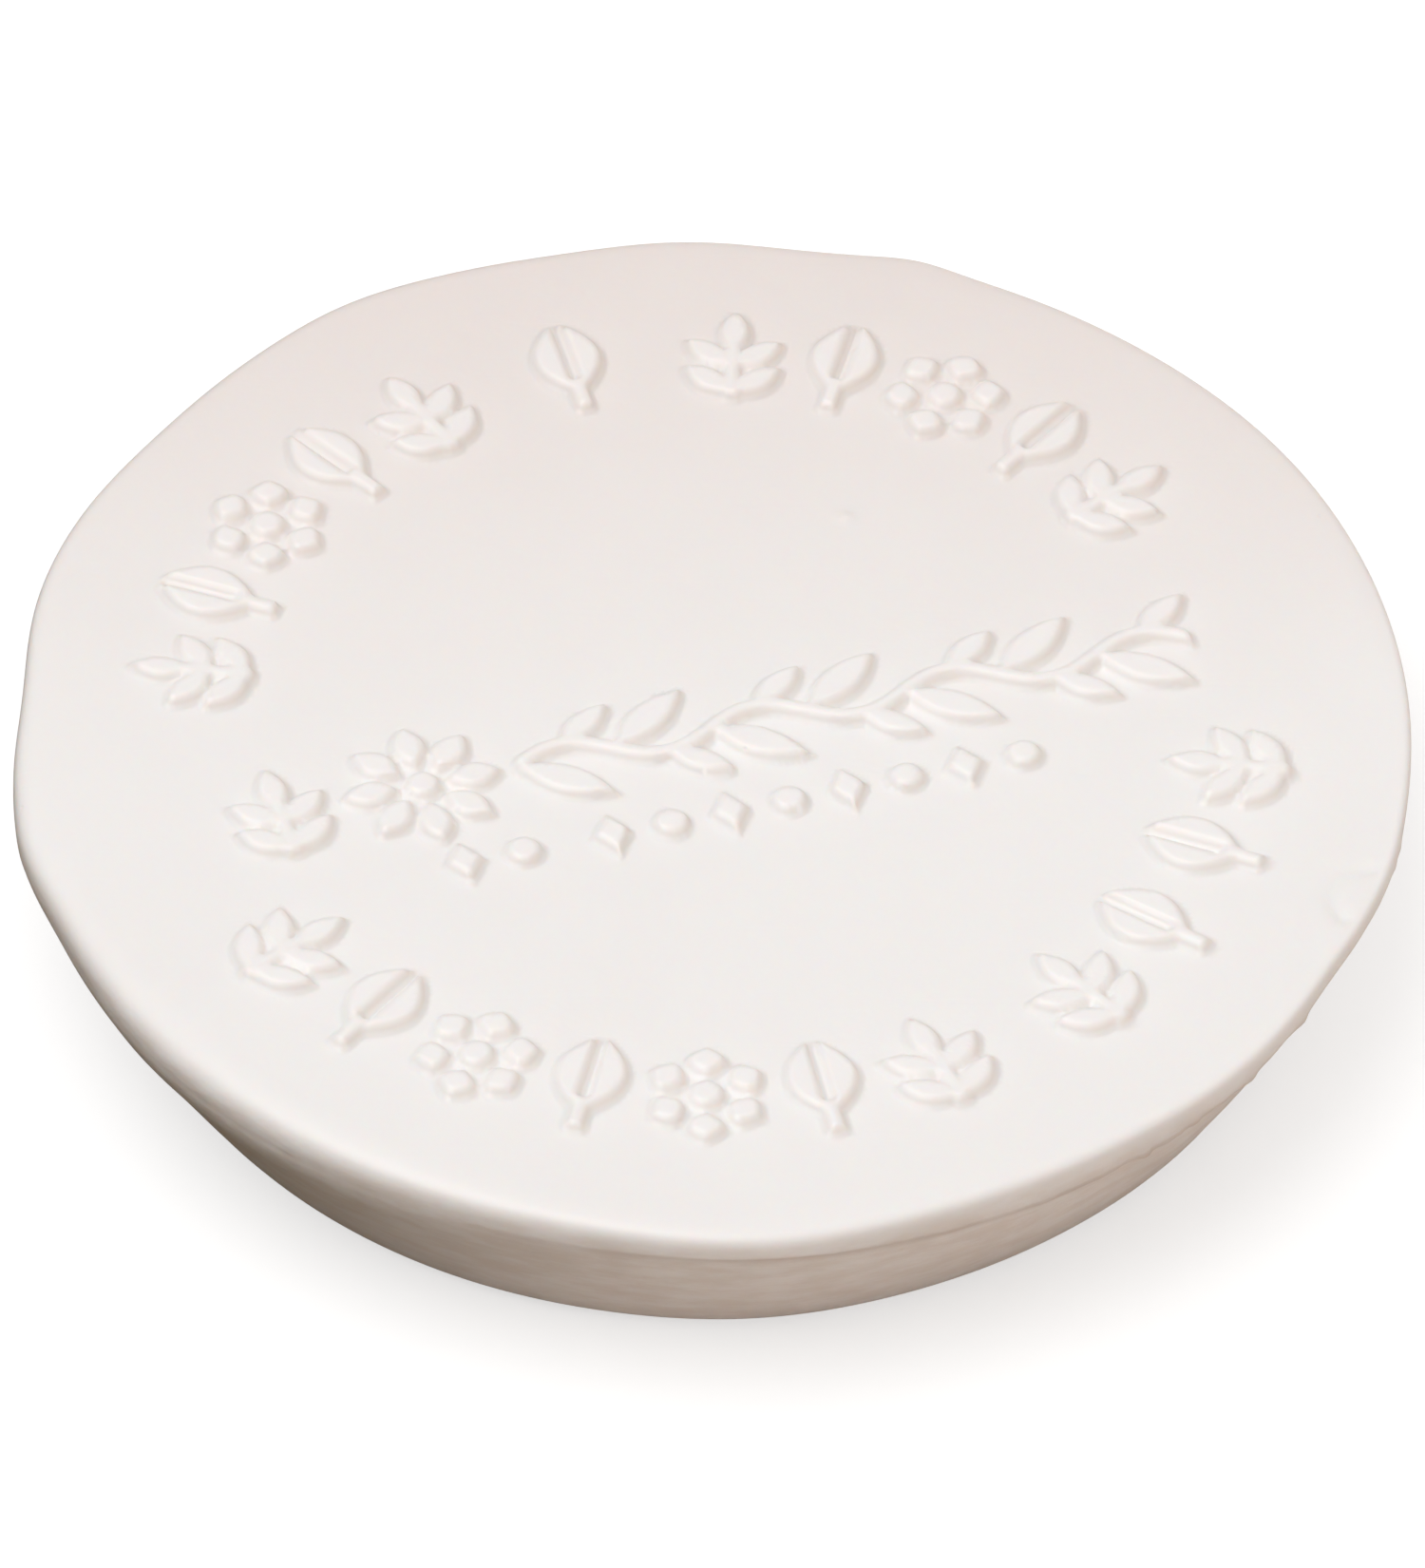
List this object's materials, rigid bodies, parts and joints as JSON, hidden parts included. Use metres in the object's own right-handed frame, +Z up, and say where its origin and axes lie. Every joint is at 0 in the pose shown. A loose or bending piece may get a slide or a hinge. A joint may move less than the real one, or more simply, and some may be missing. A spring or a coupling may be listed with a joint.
{
  "type": "shaving soap puck",
  "caption": "Round pressed cake of hard shaving soap with a raised leaf ornament on top and a side that slopes in to a flat base.",
  "frame": {"origin": "centre of the flat base, on the cake's axis", "axes": "+Z up along the cake's axis, through the ornament; +X and +Y in the base, with the ornament turned 16.3 degrees about +Z from +X"},
  "size_m": [0.088, 0.088, 0.0163],
  "materials": {
    "soap": "waxy satin, slightly translucent hard soap"
  },
  "bodies": {
    "root": {"soap_cake": "soap"}
  },
  "joints": []
}
